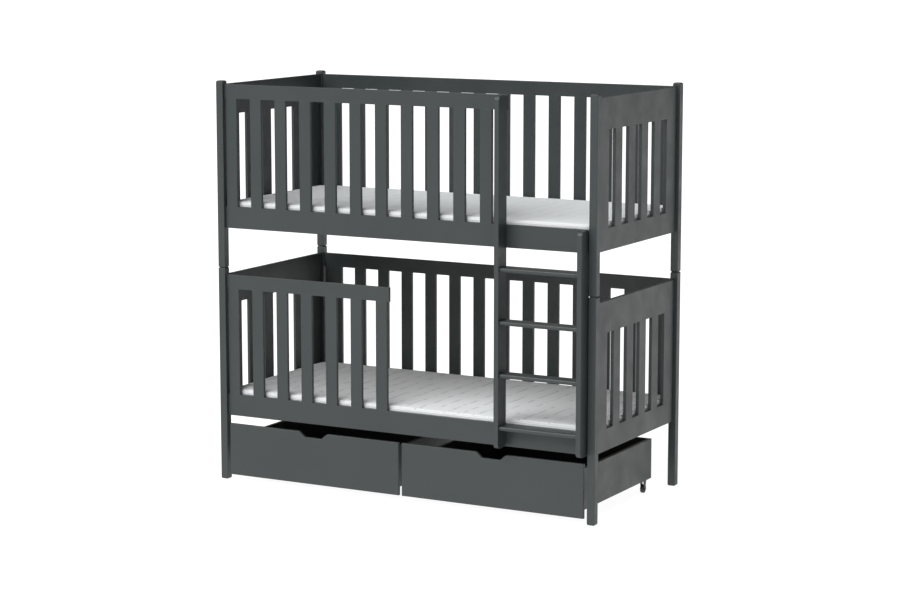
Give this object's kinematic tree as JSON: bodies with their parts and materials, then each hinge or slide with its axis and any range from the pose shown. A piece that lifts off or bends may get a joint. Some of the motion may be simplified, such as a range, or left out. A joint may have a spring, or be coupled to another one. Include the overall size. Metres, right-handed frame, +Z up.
{
  "type": "bunk bed",
  "caption": "Bunk bed of painted wood with slatted guards and ends, a front ladder and drawers on castors below that roll out to the front.",
  "frame": {"origin": "on the floor, in the middle of the bed's outline with its ladder", "axes": "+X along the bed, towards the end with the ladder; +Y from the ladder's side to the back; +Z up"},
  "size_m": [1.867, 0.931, 1.8],
  "materials": {
    "paint": "satin graphite paint on pine",
    "bare_pine": "planed, bare",
    "drawer_bottom": "painted fibreboard",
    "lower_cover": "quilted knit with a white border",
    "upper_cover": "smooth knit with a white border",
    "castor_steel": "zinc-plated and pressed",
    "castor_wheel": "moulded, black"
  },
  "bodies": {
    "bed_frame": {"lower_post_front_left": "paint", "upper_post_front_left": "paint", "lower_post_front_right": "paint", "upper_post_front_right": "paint", "lower_post_back_left": "paint", "upper_post_back_left": "paint", "lower_post_back_right": "paint", "upper_post_back_right": "paint", "lower_left_end_rails": "paint", "lower_left_end_slats": "paint", "lower_right_end_rails": "paint", "lower_right_end_slats": "paint", "lower_back_side_rail": "paint", "lower_back_top_rail": "paint", "lower_back_slats": "paint", "lower_front_side_rail": "paint", "lower_guard_rail": "paint", "lower_guard_slats": "paint", "lower_cleats": "bare_pine", "lower_base_slats": "bare_pine", "lower_mattress": "lower_cover", "upper_left_end_rails": "paint", "upper_left_end_slats": "paint", "upper_right_end_rails": "paint", "upper_right_end_slats": "paint", "upper_back_side_rail": "paint", "upper_back_top_rail": "paint", "upper_back_slats": "paint", "upper_front_side_rail": "paint", "upper_guard_rail": "paint", "upper_guard_slats": "paint", "upper_cleats": "bare_pine", "upper_base_slats": "bare_pine", "upper_mattress": "upper_cover", "ladder_upright_left": "paint", "ladder_upright_right": "paint", "ladder_treads": "paint"},
    "left_drawer": {"left_drawer_front": "paint", "left_drawer_sides": "paint", "left_drawer_back": "paint", "left_drawer_bottom": "drawer_bottom", "left_castor_brackets": "castor_steel"},
    "left_wheel_front_left": {"left_wheel_front_left": "castor_wheel"},
    "left_wheel_front_right": {"left_wheel_front_right": "castor_wheel"},
    "left_wheel_back_left": {"left_wheel_back_left": "castor_wheel"},
    "left_wheel_back_right": {"left_wheel_back_right": "castor_wheel"},
    "right_drawer": {"right_drawer_front": "paint", "right_drawer_sides": "paint", "right_drawer_back": "paint", "right_drawer_bottom": "drawer_bottom", "right_castor_brackets": "castor_steel"},
    "right_wheel_front_left": {"right_wheel_front_left": "castor_wheel"},
    "right_wheel_front_right": {"right_wheel_front_right": "castor_wheel"},
    "right_wheel_back_left": {"right_wheel_back_left": "castor_wheel"},
    "right_wheel_back_right": {"right_wheel_back_right": "castor_wheel"}
  },
  "joints": [
    {"name": "left_drawer_slide", "type": "slide", "parent": "bed_frame", "child": "left_drawer", "axis": [0, -1, 0], "range_m": [0, 0.7]},
    {"name": "left_wheel_front_left_spin", "type": "hinge", "parent": "left_drawer", "child": "left_wheel_front_left", "pos_m": [-0.738, -0.2915, 0.019], "axis": [1, 0, 0], "range_deg": [-30, 2160]},
    {"name": "left_wheel_front_right_spin", "type": "hinge", "parent": "left_drawer", "child": "left_wheel_front_right", "pos_m": [-0.03, -0.2915, 0.019], "axis": [1, 0, 0], "range_deg": [-30, 2160]},
    {"name": "left_wheel_back_left_spin", "type": "hinge", "parent": "left_drawer", "child": "left_wheel_back_left", "pos_m": [-0.738, 0.2515, 0.019], "axis": [1, 0, 0], "range_deg": [-30, 2160]},
    {"name": "left_wheel_back_right_spin", "type": "hinge", "parent": "left_drawer", "child": "left_wheel_back_right", "pos_m": [-0.03, 0.2515, 0.019], "axis": [1, 0, 0], "range_deg": [-30, 2160]},
    {"name": "right_drawer_slide", "type": "slide", "parent": "bed_frame", "child": "right_drawer", "axis": [0, -1, 0], "range_m": [0, 0.7]},
    {"name": "right_wheel_front_left_spin", "type": "hinge", "parent": "right_drawer", "child": "right_wheel_front_left", "pos_m": [0.152, -0.2915, 0.019], "axis": [1, 0, 0], "range_deg": [-30, 2160]},
    {"name": "right_wheel_front_right_spin", "type": "hinge", "parent": "right_drawer", "child": "right_wheel_front_right", "pos_m": [0.86, -0.2915, 0.019], "axis": [1, 0, 0], "range_deg": [-30, 2160]},
    {"name": "right_wheel_back_left_spin", "type": "hinge", "parent": "right_drawer", "child": "right_wheel_back_left", "pos_m": [0.152, 0.2515, 0.019], "axis": [1, 0, 0], "range_deg": [-30, 2160]},
    {"name": "right_wheel_back_right_spin", "type": "hinge", "parent": "right_drawer", "child": "right_wheel_back_right", "pos_m": [0.86, 0.2515, 0.019], "axis": [1, 0, 0], "range_deg": [-30, 2160]}
  ],
  "couplings": [
    {"joint": "left_wheel_front_left_spin", "follows": "left_drawer_slide", "rad_per_m": 52.632},
    {"joint": "left_wheel_front_right_spin", "follows": "left_drawer_slide", "rad_per_m": 52.632},
    {"joint": "left_wheel_back_left_spin", "follows": "left_drawer_slide", "rad_per_m": 52.632},
    {"joint": "left_wheel_back_right_spin", "follows": "left_drawer_slide", "rad_per_m": 52.632},
    {"joint": "right_wheel_front_left_spin", "follows": "right_drawer_slide", "rad_per_m": 52.632},
    {"joint": "right_wheel_front_right_spin", "follows": "right_drawer_slide", "rad_per_m": 52.632},
    {"joint": "right_wheel_back_left_spin", "follows": "right_drawer_slide", "rad_per_m": 52.632},
    {"joint": "right_wheel_back_right_spin", "follows": "right_drawer_slide", "rad_per_m": 52.632}
  ]
}
